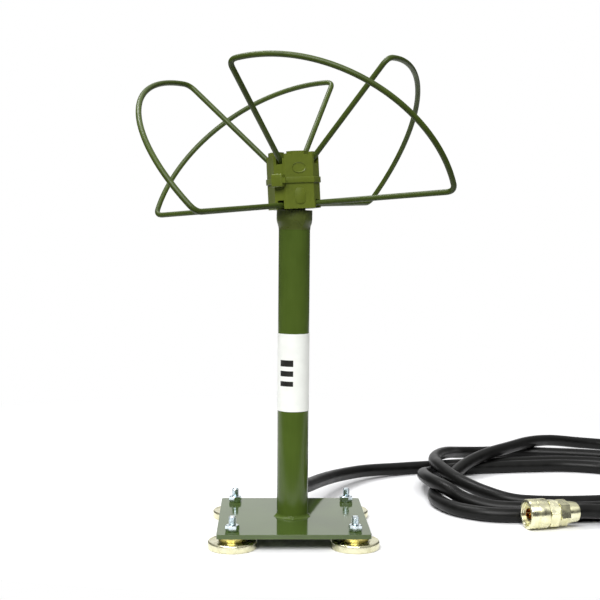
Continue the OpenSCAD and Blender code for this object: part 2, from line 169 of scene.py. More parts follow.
ENAMEL_MAST = brushed_enamel("enamel_brushed_upwards", (1, 1, 0.06), 0.0012, 0.00001,
                             (0.14, 0.22), "#495b22", "#41531b", 1.36)
ENAMEL_PLATE = brushed_enamel("enamel_brushed_across", (0.08, 1, 1), 0.0014, 0.00001,
                              (0.07, 0.13), "#435426", "#3a4a1d", 1.54)
ENAMEL_HEAD = brushed_enamel("enamel_brushed_on_head", (1, 1, 0.5), 0.0016, 0.00003,
                             (0.30, 0.42), "#5f6a23", "#525d19", 1.36)
ENAMEL_WIRE = brushed_enamel("enamel_brushed_on_wire", (1, 1, 1), 0.0030, 0.000004,
                             (0.36, 0.46), "#3f4d18", "#334012", 1.34)
ENAMEL_SLEEVE = brushed_enamel("enamel_over_sleeve", (1, 1, 1.6), 0.0030, 0.00005,
                               (0.24, 0.36), "#4b5424", "#414b1d", 1.42)
print("enamels:", [m.name for m in bpy.data.materials if m.name.startswith("enamel")])

# %% [markdown]
# ## Plated metals
#
# Nickel, zinc and gold are thin layers on steel or brass. A plated piece is bright because the
# layer copies the polished metal under it, and its colour sits in its reflections, so the shader is
# fully metallic, with the default index. Two things keep it from looking like a mirror from a
# catalogue: cloudy differences of roughness from handling, and the fine rings that the lathe left.
# Rings spread a highlight across themselves, so turned pieces are anisotropic along their axis.

# %% Metal finishes
def plated(name, bright, dull, rough, cloud=0.004, lathe_turn=None, groove=0.00035, depth=3e-6):
    """Plated metal. lathe_turn places a piece that was turned round Z, and gives it rings."""
    material, tree, shader, place = new_finish(name)
    clouds = add(tree, "ShaderNodeTexNoise", {"Vector": place, "Scale": 1 / cloud, "Detail": 4.0})
    colour = add(tree, "ShaderNodeMix", {0: clouds.outputs["Fac"], MIX_A: linear(bright),
                                         MIX_B: linear(dull)}, data_type="RGBA")
    haze = add(tree, "ShaderNodeMapRange", {"Value": clouds.outputs["Fac"], "From Min": 0.35,
                                            "From Max": 0.75, "To Min": rough * 0.7,
                                            "To Max": rough * 1.6})
    grain = add(tree, "ShaderNodeTexNoise", {"Vector": place, "Scale": 1 / groove, "Detail": 2.0})
    height = grain.outputs["Fac"]
    if lathe_turn is not None:
        place_on_axis, turn, _ = lathe_turn.inverted().decompose()
        axis = add(tree, "ShaderNodeMapping", {"Vector": place, "Location": place_on_axis,
                                               "Rotation": turn.to_euler()})
        rings = add(tree, "ShaderNodeTexWave", {"Vector": axis.outputs["Vector"],
                                                "Scale": 0.31 / groove, "Distortion": 0.6,
                                                "Detail": 1.0},
                    bands_direction="Z")
        height = rings.outputs["Fac"]
        axis_way = lathe_turn.to_3x3() @ Vector((0, 0, 1))
        spread = add(tree, "ShaderNodeCombineXYZ", {"X": axis_way.x, "Y": axis_way.y,
                                                    "Z": axis_way.z})
        shader.inputs["Anisotropic"].default_value = 0.85
        tree.links.new(spread.outputs["Vector"], shader.inputs["Tangent"])
    bump = add(tree, "ShaderNodeBump", {"Height": height, "Strength": 0.5, "Distance": depth})
    tree.links.new(colour.outputs[MIX_COLOUR], shader.inputs["Base Color"])
    tree.links.new(haze.outputs["Result"], shader.inputs["Roughness"])
    tree.links.new(bump.outputs["Normal"], shader.inputs["Normal"])
    shader.inputs["Metallic"].default_value = 1.0
    return material


PLUG_FRAME = (Matrix.Translation((0.163, 0.004, 0.0105))
              @ Matrix.Rotation(math.radians(11), 4, "Z")
              @ Matrix.Rotation(math.radians(90), 4, "Y"))
UPRIGHT = Matrix.Identity(4)

NICKEL_POT = plated("nickel_on_steel_pot", "#e9e6cc", "#cfcba0", 0.22, lathe_turn=UPRIGHT)
NICKEL_PLUG = plated("nickel_on_brass_plug", "#f6f4da", "#e6e2b0", 0.30,
                     lathe_turn=PLUG_FRAME)
ZINC_BRIGHT = plated("bright_zinc", "#e6eef1", "#c9d8de", 0.20, cloud=0.002)
ZINC_YELLOW = plated("yellow_chromate_zinc", "#d2c67c", "#aba05e", 0.24, cloud=0.003)
MAGNET_GREY = plated("sintered_magnet", "#a2a5a8", "#83868a", 0.34, cloud=0.002)
# Gold plating on the centre pin. On the slotted contact the same warm gold is a painted reflection:
# the tint that light takes on between the plug's pale plated walls inside the bore.
GOLD_AND_WARM_REFLECTION = plated("gold_and_painted_warm_reflection", "#e2b254", "#c98f3c", 0.14, cloud=0.002)
COPPER_WIRE = plated("bare_copper", "#c17c4b", "#9c5930", 0.24, cloud=0.002)
SPRING_STEEL = plated("spring_steel", "#a7abae", "#7f8488", 0.26, cloud=0.002)
SOLDER_TIN = plated("solder_tin", "#a9acad", "#85898b", 0.36, cloud=0.0015, groove=0.0012,
                    depth=0.00012)
print("metals ready, from", NICKEL_POT.name, "to", SOLDER_TIN.name)

# %% [markdown]
# ## Plastics, rubber and resin
#
# The lead's jacket is extruded PVC: a soft black with a broad, greyish sheen, fine scuffs from the
# drum, and a bloom of dust in places. The grommet is moulded rubber, the insulator is turned from
# white PTFE, the gasket is red-brown silicone, and the head is sealed with dark green epoxy, which
# sets with a wet gloss. They differ in colour, gloss and the size of their grain, so one recipe
# takes those as its values.

# %% Finishes of the soft and cast pieces
def moulded(name, dark, light, rough, grain, depth, ior=1.5, spread=0.006):
    """A plastic or rubber: cloudy colour between dark and light, with a fine grain."""
    material, tree, shader, place = new_finish(name)
    clouds = add(tree, "ShaderNodeTexNoise", {"Vector": place, "Scale": 1 / spread, "Detail": 5.0,
                                              "Roughness": 0.65})
    share = add(tree, "ShaderNodeMapRange", {"Value": clouds.outputs["Fac"], "From Min": 0.35,
                                             "From Max": 0.75})
    colour = add(tree, "ShaderNodeMix", {0: share.outputs["Result"], MIX_A: linear(dark),
                                         MIX_B: linear(light)}, data_type="RGBA")
    haze = add(tree, "ShaderNodeMapRange", {"Value": clouds.outputs["Fac"], "From Min": 0.3,
                                            "From Max": 0.8, "To Min": rough * 0.85,
                                            "To Max": rough * 1.3})
    grains = add(tree, "ShaderNodeTexNoise", {"Vector": place, "Scale": 1 / grain, "Detail": 3.0})
    bump = add(tree, "ShaderNodeBump", {"Height": grains.outputs["Fac"], "Strength": 0.5,
                                        "Distance": depth})
    tree.links.new(colour.outputs[MIX_COLOUR], shader.inputs["Base Color"])
    tree.links.new(haze.outputs["Result"], shader.inputs["Roughness"])
    tree.links.new(bump.outputs["Normal"], shader.inputs["Normal"])
    shader.inputs["IOR"].default_value = ior
    return material


PVC_JACKET = moulded("extruded_pvc_jacket", "#0b0b0a", "#131312", 0.36, 0.0009, 0.00001, 1.29,
                     0.009)
RUBBER_BUSH = moulded("moulded_rubber", "#1a1a1a", "#262625", 0.55, 0.0007, 0.00004)
PTFE_WHITE = moulded("turned_ptfe", "#dcd9cf", "#eceae4", 0.38, 0.0006, 0.00001, 1.38)
SILICONE_RED = moulded("silicone_gasket", "#74301d", "#8f4026", 0.45, 0.0006, 0.00002, 1.42)
EPOXY_SEAL = moulded("epoxy_resin", "#1b2412", "#2c3a1a", 0.10, 0.0045, 0.00035, 1.55)
INK_BLACK = moulded("printing_ink", "#12120f", "#24241f", 0.42, 0.0005, 0.00001)
LABEL_FILM = moulded("satin_polyester_film", "#ebede7", "#f1f3ed", 0.32, 0.0004, 0.000006)
print("cast, moulded and printed finishes ready")

# %% [markdown]
# ## The lead
#
# The lead is a 10.3 mm coaxial cable, about 2.7 m long, as stiff as a garden hose, so it can't make
# a bend tighter than about 40 mm. It leaves the mast's rear wall, sinks to the table in a long
# curve, and lies there in a loose coil that passes over itself in low humps. A Bezier curve with
# a round bevel is the natural way to make it: the curve is the cable's centre, and its handles
# are a sixth of the step between the neighbours, which makes the bends as even as a real
# cable's. No handle sinks below the height at which the jacket touches the table.

# %% The lead's route and the lead itself
LEAD_R = 5.15 * MM
LEAD_ROUTE = [
    (0, 13, 25), (0, 19, 25), (5, 34, 22.5), (13, 56, 19), (24, 88, 15.5), (40, 124, 11.5),
    (64, 157, 8), (94, 177, 5.6), (128, 188, 5.3), (165, 197, 5.3), (205, 205, 5.3),
    (245, 209, 5.3), (283, 199, 5.3), (309, 173, 5.3), (318, 136, 5.3), (309, 98, 5.3),
    (284, 66, 5.3), (250, 48, 5.3), (212, 40, 5.3), (178, 40, 5.3), (151, 44, 5.3),
    (131, 54, 8.5), (117, 68, 14.5), (109, 86, 15.9), (107, 108, 15), (110, 130, 11.5),
    (117, 150, 8), (129, 167, 6), (147, 179, 5.3), (175, 185, 5.3), (208, 190, 5.3),
    (243, 192, 5.3), (275, 180, 5.3), (296, 152, 5.3), (298, 118, 5.3), (281, 86, 5.3),
    (250, 66, 5.3), (210, 59, 5.3), (172, 62, 5.6), (149, 77, 9), (131, 101, 14),
    (123, 127, 17.5), (122, 153, 18), (129, 178, 17.2), (141, 203, 14.5), (156, 229, 9.5),
    (177, 247, 6), (205, 253, 5.3), (240, 247, 5.3), (283, 236, 5.3), (320, 210, 5.3),
    (342, 168, 5.3), (343, 122, 5.3), (326, 80, 5.3), (292, 48, 5.3), (246, 32, 5.3),
    (200, 26, 5.3), (162, 22, 5.3), (139, 25.5, 5.3), (120, 41, 5.3), (111, 65, 5.3),
    (112, 88, 5.3), (121, 115, 5.3), (134, 142, 7), (152, 167, 12.6), (173, 188, 16.3),
    (198, 217, 16.2), (223, 245, 15.9), (250, 272, 12.5), (282, 287, 7.5), (316, 284, 5.3),
    (345, 262, 5.3), (363, 226, 5.3), (370, 184, 5.3), (368, 142, 5.3), (357, 101, 5.3),
    (334, 63, 5.3), (298, 34, 5.5), (248, 18, 7.5)]
lead_points = ([Vector(p) * MM for p in LEAD_ROUTE]
               + [PLUG_FRAME @ Vector((0, 0, 47 * MM)), PLUG_FRAME @ Vector((0, 0, 38 * MM))])
into_plug = (PLUG_FRAME.to_3x3() @ Vector((0, 0, -1))).normalized()


def lead_curve(points, first_pull, last_pull):
    """A Bezier curve through the points, with a round section."""
    curve = bpy.data.curves.new("lead", "CURVE")
    curve.dimensions = "3D"
    curve.resolution_u = 8
    curve.bevel_depth = LEAD_R
    curve.bevel_resolution = 6
    curve.use_fill_caps = True
    spline = curve.splines.new("BEZIER")
    spline.bezier_points.add(len(points) - 1)
    rest = min(p.z for p in points)
    for i, knot in enumerate(spline.bezier_points):
        here = points[i]
        pull = (points[min(i + 1, len(points) - 1)] - points[max(i - 1, 0)]) / 6
        pull = first_pull if i == 0 else last_pull if i == len(points) - 1 else pull
        knot.co = here
        for side, handle in ((-1, "handle_left"), (1, "handle_right")):
            grip = here + side * pull
            grip.z = max(grip.z, rest)
            setattr(knot, handle, grip)
    lead = bpy.data.objects.new("lead_jacket", curve)
    bpy.context.scene.collection.objects.link(lead)
    return lead


lead_jacket = lead_curve(lead_points, Vector((0, 2, 0)) * MM, into_plug * 3 * MM)
lead_jacket.data.materials.append(PVC_JACKET)
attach(lead_jacket, ANTENNA)
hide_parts("lead_cable")

# %% [markdown]
# ## Workshop
#
# Most of the pieces were turned, bent or milled, so the helpers work the same way. `lathe` spins
# a profile round Z, `mill_flats` presses six flats into what the lathe made, `soften` rounds the
# sharp edges, since no real edge is perfectly sharp, and `finished` makes the object: it puts the
# piece in its place in the mesh itself, turns the faces outwards, and hands the piece to its body.

# %% Turning, milling and finishing
SHARP = math.radians(32)


def lathe(bm, profile, steps=96):
    """Spins a closed profile of (radius, height) points in mm round Z. Radius 0 makes a pole."""
    corners = [bm.verts.new((r * MM, 0, z * MM)) for r, z in profile]
    edges = [bm.edges.new(pair) for pair in zip(corners, corners[1:] + corners[:1])]
    bmesh.ops.spin(bm, geom=corners + edges, cent=(0, 0, 0), axis=(0, 0, 1), dvec=(0, 0, 0),
                   angle=math.tau, steps=steps, use_merge=True, use_duplicate=False)
    bmesh.ops.remove_doubles(bm, verts=bm.verts, dist=1e-7)
    return bm


def mill_flats(bm, flats, low, high, turn=0.0):
    """Presses six flats, `flats` mm apart, into what lies between two heights."""
    share = math.tau / 6
    for v in bm.verts:
        radius = math.hypot(v.co.x, v.co.y)
        if radius < 1e-6 or not low * MM - 1e-7 <= v.co.z <= high * MM + 1e-7:
            continue
        beyond = (math.atan2(v.co.y, v.co.x) - turn) % share - share / 2
        reach = flats * MM / 2 / math.cos(beyond)
        if radius > reach:
            v.co.x *= reach / radius
            v.co.y *= reach / radius


def soften(bm, width, segments=2):
    """Rounds every sharp edge by width mm."""
    edges = [e for e in bm.edges if len(e.link_faces) == 2 and e.calc_face_angle() > SHARP]
    bmesh.ops.bevel(bm, geom=edges, offset=width * MM, offset_type="OFFSET", affect="EDGES",
                    segments=segments, profile=0.5, material=-1, clamp_overlap=True)


def finished(name, bm, finish, stands_for=(), body=ANTENNA, place=None, smooth=SHARP):
    """Makes the piece: placed, closed, turned outwards, smooth up to an angle, and riding."""
    if place is not None:
        bmesh.ops.transform(bm, matrix=place, verts=bm.verts)
    bmesh.ops.remove_doubles(bm, verts=bm.verts, dist=1e-7)
    bmesh.ops.recalc_face_normals(bm, faces=bm.faces)
    for face in bm.faces:
        face.smooth = True
    for edge in bm.edges:
        edge.smooth = len(edge.link_faces) == 2 and edge.calc_face_angle() < smooth
    mesh = bpy.data.meshes.new(name)
    bm.to_mesh(mesh)
    bm.free()
    mesh.materials.append(finish)
    piece = bpy.data.objects.new(name, mesh)
    bpy.context.scene.collection.objects.link(piece)
    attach(piece, body)
    if stands_for:
        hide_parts(*stands_for)
    print(f"{name}: {len(mesh.polygons)} faces")
    return piece


# %% [markdown]
# Some pieces are right as they were designed, such as the slotted head. They only need their edges
# broken, as a file or a coat of paint does. `dressed` copies the node, joins its loose triangles,
# and lets a Bevel modifier round what is sharp; the node itself is left alone and hidden.

# %% A softened copy of a designed piece
def dressed(node, name, finish, edge, segments=2):
    """A copy of a node with joined faces and edges rounded by `edge` mm."""
    bm = bmesh.new()
    bm.from_mesh(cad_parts[node].data)
    bmesh.ops.remove_doubles(bm, verts=bm.verts, dist=2e-6)
    bmesh.ops.dissolve_limit(bm, angle_limit=math.radians(1), use_dissolve_boundaries=False,
                             verts=bm.verts, edges=bm.edges, delimit=set())
    piece = finished(name, bm, finish, (node,))
    rounding = piece.modifiers.new("broken_edges", "BEVEL")
    rounding.width = edge * MM
    rounding.segments = segments
    rounding.limit_method = "ANGLE"
    rounding.angle_limit = SHARP
    rounding.use_clamp_overlap = True
    rounding.harden_normals = True


print("workshop ready")

# %% [markdown]
# ## Base plate
#
# A square of 3 mm steel, cut on a guillotine and painted. Paint runs back from a sharp edge and
# gathers beside it, which leaves a rounded rim that catches a bright line of light.

# %% Base plate
dressed("base_plate", "plate_painted", ENAMEL_PLATE, 0.8, 4)

# %% [markdown]
# ## Pot magnets
#
# A pot magnet is a pressed steel cup with a magnet glued into it, open side down. The cup's edge
# comes out of the press with a radius, and its roof is dished a little round the boss that the
# spacer stands on. It was nickel plated after polishing. One profile, spun four times.

# %% Pot magnets, spacers and where they stand
POT_R, POT_H = 16, 5
CORNERS = {"front_left": (-40, -40), "front_right": (40, -40),
           "back_left": (-40, 40), "back_right": (40, 40)}
POT_PROFILE = [(0, 3.4), (14, 3.4), (14, 0.25), (14.25, 0), (15.45, 0), (15.8, 0.15),
               (POT_R, 0.5), (POT_R, 3.9), (15.93, 4.3), (15.7, 4.68), (15.35, 4.92),
               (14.95, POT_H), (14.5, 4.95), (14.0, 4.72), (13.4, 4.62), (10.4, 4.62),
               (9.8, 4.75), (9.4, POT_H), (0, POT_H)]
SPACER_PROFILE = [(2.65, 5), (8.6, 5), (9, 5.35), (9, 7.65), (8.6, 8), (2.65, 8)]

for corner_name, (x, y) in CORNERS.items():
    spot = Matrix.Translation((x * MM, y * MM, 0))
    finished(f"pot_{corner_name}", lathe(bmesh.new(), POT_PROFILE), NICKEL_POT,
             (f"magnet_pot_{corner_name}",), place=spot, smooth=math.radians(50))
    finished(f"spacer_{corner_name}", lathe(bmesh.new(), SPACER_PROFILE, steps=72), ZINC_YELLOW,
             (f"washer_{corner_name}",), place=spot)

# %% [markdown]
# ## Studs and nuts
#
# An M5 stud has a thread with a pitch of 0.8 mm. The thread is one tooth of the profile, spun
# round the axis and raised by one pitch in each turn, so that the turns join. A plane cuts both
# ends flat, and a cone takes the corners off the tip. The nuts are M5 too, hexagons of 8 mm across
# the flats: a turned blank with chamfers, with six flats pressed in, which leaves the curved edges
# that every real nut has.

# %% Threaded studs
STUD_R, STUD_PITCH = 2.5, 0.8
STUD_FOOT, STUD_TOP, STUD_TIP = 5.0, 20.7, 0.8


def threaded_rod(radius, pitch, foot, top, tip, steps=30):
    """A rod with a V thread, cut flat at both ends and pointed a little at its top."""
    bm = bmesh.new()
    root = radius - 0.61 * pitch
    tooth = [(root, 0), (root, 0.12), (radius, 0.48), (radius, 0.60), (root, 0.96), (root, 1.0)]
    corners = [bm.verts.new((r * MM, 0, (foot - pitch + share * pitch) * MM))
               for r, share in tooth]
    edges = [bm.edges.new(pair) for pair in zip(corners, corners[1:])]
    turns = math.ceil((top - foot) / pitch) + 2
    bmesh.ops.spin(bm, geom=corners + edges, cent=(0, 0, 0), axis=(0, 0, 1),
                   dvec=(0, 0, pitch * MM / steps), angle=math.tau * turns, steps=steps * turns,
                   use_merge=False, use_duplicate=False)
    bmesh.ops.remove_doubles(bm, verts=bm.verts, dist=2e-6)
    for height, way in ((foot, -1), (top, 1)):
        everything = bm.verts[:] + bm.edges[:] + bm.faces[:]
        bmesh.ops.bisect_plane(bm, geom=everything, plane_co=(0, 0, height * MM),
                               plane_no=(0, 0, way), clear_outer=True, dist=1e-7)
        rim = [e for e in bm.edges if e.is_boundary
               and all(abs(v.co.z - height * MM) < 1e-6 for v in e.verts)]
        bmesh.ops.edgeloop_fill(bm, edges=rim)
    for v in bm.verts:
        reach = (radius - tip) * MM + max(0.0, top * MM - v.co.z)
        out = math.hypot(v.co.x, v.co.y)
        if out > reach:
            v.co.x *= reach / out
            v.co.y *= reach / out
    return bm


for corner_name, (x, y) in CORNERS.items():
    spot = Matrix.Translation((x * MM, y * MM, 0)) @ Matrix.Rotation(x * 0.05 + y * 0.02, 4, "Z")
    rod = threaded_rod(STUD_R, STUD_PITCH, STUD_FOOT, STUD_TOP, STUD_TIP)
    finished(f"threaded_stud_{corner_name}", rod, ZINC_BRIGHT,
             (f"stud_{corner_name}",), place=spot)

# %% Hexagon nuts
NUT_FLATS, NUT_FOOT, NUT_TOP, NUT_BORE = 8, 11.0, 15.0, 2.2


def shoulders(flats, foot, top, chamfer, face_r, steps=5):
    """The outer side of a hexagon's turned blank, from foot to top, as a list of points."""
    corner_r = flats / math.sqrt(3)
    rise = [(face_r + (corner_r - face_r) * i / steps, chamfer * i / steps)
            for i in range(steps + 1)]
    return [(r, foot + h) for r, h in rise] + [(r, top - h) for r, h in reversed(rise)]


NUT_PROFILE = ([(NUT_BORE, NUT_FOOT + 0.3), (NUT_BORE + 0.3, NUT_FOOT)]
               + shoulders(NUT_FLATS, NUT_FOOT, NUT_TOP, 0.55, 3.8, steps=4)
               + [(NUT_BORE + 0.3, NUT_TOP), (NUT_BORE, NUT_TOP - 0.3)])
NUT_TURNS = {"front_left": 0.10, "front_right": 0.62, "back_left": 0.35, "back_right": 0.85}
for corner_name, (x, y) in CORNERS.items():
    nut = lathe(bmesh.new(), NUT_PROFILE, steps=72)
    mill_flats(nut, NUT_FLATS, NUT_FOOT, NUT_TOP)
    spot = (Matrix.Translation((x * MM, y * MM, 0))
            @ Matrix.Rotation(NUT_TURNS[corner_name], 4, "Z"))
    finished(f"hex_nut_{corner_name}", nut, ZINC_BRIGHT, (f"nut_{corner_name}",),
             place=spot, smooth=math.radians(25))

# %% [markdown]
# ## Mast, weld and label
#
# The mast is half-inch steel tube. Its foot is welded to the plate by hand, in short runs, so the
# bead is lumpy: a hollow, quarter-round profile is spun in many steps, and its corners are moved
# outwards and back by noise, with a few blobs where the welder stopped and started.

# %% Mast and weld bead
dressed("mast_tube", "mast_painted", ENAMEL_MAST, 0.3, 2)

PLATE_TOP, MAST_R, WELD_LEG = 11.0, 10.65, 2.0
bead_profile = [(MAST_R - 0.6, PLATE_TOP + 0.05), (MAST_R + WELD_LEG, PLATE_TOP + 0.05)]
bead_profile += [(MAST_R + WELD_LEG * (1 - math.sin(a)) * 0.95 + 0.12,
                  PLATE_TOP + WELD_LEG * (1 - math.cos(a)) * 0.95 + 0.12)
                 for a in (math.radians(d) for d in range(10, 90, 10))]
bead_profile += [(MAST_R, PLATE_TOP + WELD_LEG), (MAST_R - 0.6, PLATE_TOP + WELD_LEG)]
bead = lathe(bmesh.new(), bead_profile, steps=240)
BLOBS = [(-2.95, 0.7), (-1.55, 0.9), (-0.35, 0.5), (0.9, 0.6), (2.3, 0.6)]   # angle, height in mm
for v in bead.verts:
    out = Vector((v.co.x, v.co.y, 0))
    if out.length < (MAST_R + 0.05) * MM:
        continue
    angle = math.atan2(v.co.y, v.co.x)
    ripple = 0.08 * math.sin(angle * 40) + 0.2 * noise.noise(v.co / (3.0 * MM))
    for where, height in BLOBS:
        ripple += height * math.exp(-((math.remainder(angle - where, math.tau)) / 0.10) ** 2)
    v.co += (out.normalized() * 0.55 + Vector((0, 0, 0.5 if v.co.z > 11.2 * MM else 0))) \
        * ripple * MM
finished("weld_painted", bead, ENAMEL_MAST, ("weld_bead",),
         smooth=math.radians(60))

# %% [markdown]
# The label is a satin polyester film, wrapped once round the mast, with its end overlapping at the
# back. It carries only three plain black bars: they are printed, so they are patches of ink as thin
# as a hair, made by spinning a small rectangle through the part of a turn that the print takes.

# %% Label and its marks
LABEL_LOW, LABEL_HIGH, LABEL_R = 84.0, 136.6, 10.85
film = lathe(bmesh.new(), [(MAST_R, LABEL_LOW), (LABEL_R - 0.05, LABEL_LOW),
                           (LABEL_R, LABEL_LOW + 0.05), (LABEL_R, LABEL_HIGH - 0.05),
                           (LABEL_R - 0.05, LABEL_HIGH), (MAST_R, LABEL_HIGH)], steps=144)
LAP_FROM, LAP_TO, LAP_SWELL = math.radians(74), math.radians(99), 1.014
for v in film.verts:      # the overlap at the back: a second layer over 25 degrees
    outside = math.hypot(v.co.x, v.co.y) > (MAST_R + 0.05) * MM
    if outside and LAP_FROM < math.atan2(v.co.y, v.co.x) < LAP_TO:
        v.co.x *= LAP_SWELL
        v.co.y *= LAP_SWELL
finished("label_wrap", film, LABEL_FILM, ("label_band",))

MARK_START, MARK_TURN = math.radians(-144), math.radians(52)
INK_IN, INK_OUT = LABEL_R - 0.1, LABEL_R + 0.03
MARK_HEIGHTS = [(101.2, 104.6), (107.9, 111.6), (114.6, 118.9)]
ink = bmesh.new()
for low, high in MARK_HEIGHTS:
    rim = [ink.verts.new((r * MM, 0, z * MM))
           for r, z in ((INK_IN, low), (INK_OUT, low), (INK_OUT, high), (INK_IN, high))]
    bmesh.ops.rotate(ink, verts=rim, matrix=Matrix.Rotation(MARK_START, 3, "Z"))
    sides = [ink.edges.new((rim[i], rim[(i + 1) % 4])) for i in range(4)]
    bmesh.ops.spin(ink, geom=rim + sides, cent=(0, 0, 0), axis=(0, 0, 1), dvec=(0, 0, 0),
                   angle=MARK_TURN, steps=24, use_merge=False, use_duplicate=False)
bmesh.ops.holes_fill(ink, edges=[e for e in ink.edges if e.is_boundary], sides=4)
finished("label_marks", ink, INK_BLACK)

# %% [markdown]
# ## Cable bush
#
# The lead leaves the mast through a moulded rubber bush, which keeps the edge of the hole from
# cutting into the jacket. It was pressed into the hole from outside, and its lip lies on the tube.

# %% Cable bush and the lead inside the mast
dressed("cable_grommet", "rubber_bush", RUBBER_BUSH, 0.6, 3)
dressed("riser_cable", "riser_jacket", PVC_JACKET, 0.2)

# %% [markdown]
# ## Sleeve under the head
#
# The joint of mast and head is covered by a sleeve that was shrunk on with a hot air gun and
# painted over. It is drawn in at its lower end, has one fold where it overlapped itself,
# and small wrinkles run round it. The wall is spun in many rows, so that noise can shape it.

# %% Sleeve
SLEEVE_LOW, SLEEVE_HIGH, SLEEVE_R = 206.7, 219.7, 12.15
wall = []
for i in range(27):
    share = i / 26
    swell = min(1.0, share / 0.55)
    wall.append((MAST_R + 0.05 + (SLEEVE_R - MAST_R - 0.1) * swell * swell * (3 - 2 * swell),
                 SLEEVE_LOW + share * (SLEEVE_HIGH - SLEEVE_LOW)))
sleeve = lathe(bmesh.new(), wall + [(MAST_R - 0.3, SLEEVE_HIGH), (MAST_R - 0.3, SLEEVE_LOW)],
               steps=160)
FOLD_ANGLE = -1.05
for v in sleeve.verts:
    out = math.hypot(v.co.x, v.co.y)
    if out < (MAST_R - 0.1) * MM:
        continue
    angle = math.atan2(v.co.y, v.co.x)
    side = math.remainder(angle - FOLD_ANGLE - (v.co.z - 0.213) * 22, math.tau)
    fold = 0.3 * math.exp(-max(0.0, side) / 0.35) if side > 0 else 0.0
    waves = Vector((v.co.x, v.co.y, v.co.z * 2.4)) / (4.5 * MM)
    push = fold + 0.12 * noise.noise(waves)
    v.co.x += v.co.x / out * push * MM
    v.co.y += v.co.y / out * push * MM
finished("sleeve_painted", sleeve, ENAMEL_SLEEVE, ("shrink_sleeve",),
         smooth=math.radians(70))

# %% [markdown]
# ## Head
#
# The head is a plastic block that holds the wires in slots. It was designed with its slots, so it
# keeps that shape and only gets broken edges and thick paint. Its front carries a raised oval
# rim and a plain raised pad, as a mould leaves them. Both start as a circle, which is stretched,
# extruded, inset and bevelled.

# %% Head block with its raised marks
HUB_FRAME = (Matrix.Translation((0, 0, 0.2206)) @ Matrix.Rotation(math.radians(-3.2), 4, "Y")
             @ Matrix.Rotation(math.radians(-76.4), 4, "Z"))
HUB_HALF = 15.65
dressed("hub_body", "head_painted", ENAMEL_HEAD, 0.45, 3)


def raised_pad(width, height, low, thickness, roundness, rim=None, segments=40):
    """A pad on the head's front, upright at height `low` mm; a rim leaves its middle sunken."""
    bm = bmesh.new()
    bmesh.ops.create_circle(bm, cap_ends=True, radius=1, segments=segments)
    for v in bm.verts:       # a superellipse: between an oval and a rounded rectangle
        a = math.atan2(v.co.y, v.co.x)
        stretch = (abs(math.cos(a)) ** roundness + abs(math.sin(a)) ** roundness) \
            ** (-1 / roundness)
        v.co.x = math.cos(a) * stretch * width / 2 * MM
        v.co.y = math.sin(a) * stretch * height / 2 * MM
    up = bmesh.ops.extrude_face_region(bm, geom=bm.faces[:])
    top = [g for g in up["geom"] if isinstance(g, bmesh.types.BMFace)]
    bmesh.ops.translate(bm, verts=[g for g in up["geom"] if isinstance(g, bmesh.types.BMVert)],
                        vec=(0, 0, thickness * MM))
    if rim:
        bmesh.ops.inset_region(bm, faces=top, thickness=rim * MM, depth=0)
        bmesh.ops.translate(bm, verts=list({v for f in top for v in f.verts}),
                            vec=(0, 0, -thickness * 0.9 * MM))
    soften(bm, 0.16)
    quarter = math.radians(90)
    stand = (Matrix.Translation(((HUB_HALF - 0.1) * MM, 0, low * MM))
             @ Matrix.Rotation(quarter, 4, "Z") @ Matrix.Rotation(quarter, 4, "X"))
    bmesh.ops.transform(bm, matrix=HUB_FRAME @ stand, verts=bm.verts)
    return bm


finished("head_oval_rim", raised_pad(9.4, 6.8, 27.0, 0.7, 2.0, rim=0.6), ENAMEL_HEAD)
finished("head_plain_pad", raised_pad(7.2, 10.6, 8.3, 0.5, 3.2), ENAMEL_HEAD)

# %% [markdown]
# The well on top of the head is filled with epoxy over the soldered joint. Resin creeps up the
# wall while it sets, so its surface is a shallow dish with a raised rim: a spun profile again.

# %% Resin in the well
SEAL_R, SEAL_LOW, SEAL_TOP = 6.9, 30.0, 35.2
resin_profile = [(0, SEAL_LOW), (SEAL_R, SEAL_LOW), (SEAL_R, SEAL_TOP + 0.3),
                 (SEAL_R - 0.25, SEAL_TOP + 0.25), (SEAL_R - 0.9, SEAL_TOP - 0.1),
                 (SEAL_R - 2.2, SEAL_TOP - 0.3), (2.5, SEAL_TOP - 0.2), (0, SEAL_TOP - 0.1)]
finished("epoxy_filling", lathe(bmesh.new(), resin_profile, steps=64), EPOXY_SEAL,
         ("hub_seal",), place=HUB_FRAME, smooth=math.radians(60))

# %% [markdown]
# ## Cable tie
#
# A nylon tie holds the head together. The strap is a ring of eight corners that follows the head,
# raised, thickened outwards and rounded. Its locking head is a rounded block, with the cut tail as
# a short stub beside it. The window that a real one has for the strap is left out.

# %% Cable tie
HUB_EDGE = HUB_HALF - 6
TIE_LOW, TIE_HIGH, TIE_T, TIE_GAP = 16.8, 20.8, 0.75, 0.06
BLOCK_SIZE, TAIL_SIZE = Vector((4.6, 8.4, 8.6)), Vector((1.2, 3.2, 3.6))
CHAMFER_FACE = (HUB_HALF * 2 - 6) / math.sqrt(2)
tie = bmesh.new()
flat, edge_at = HUB_HALF + TIE_GAP, HUB_EDGE + TIE_GAP * math.tan(math.radians(22.5))
ring = [tie.verts.new((x * MM, y * MM, TIE_LOW * MM)) for x, y in (
    (edge_at, -flat), (flat, -edge_at), (flat, edge_at), (edge_at, flat),
    (-edge_at, flat), (-flat, edge_at), (-flat, -edge_at), (-edge_at, -flat))]
loop = [tie.edges.new((ring[i], ring[(i + 1) % 8])) for i in range(8)]
raised = bmesh.ops.extrude_edge_only(tie, edges=loop)
bmesh.ops.translate(tie, verts=[g for g in raised["geom"] if isinstance(g, bmesh.types.BMVert)],
                    vec=(0, 0, (TIE_HIGH - TIE_LOW) * MM))
bmesh.ops.recalc_face_normals(tie, faces=tie.faces)
bmesh.ops.solidify(tie, geom=tie.faces[:], thickness=-TIE_T * MM)
soften(tie, 0.28, 3)
block = bmesh.ops.create_cube(tie, size=1)["verts"]
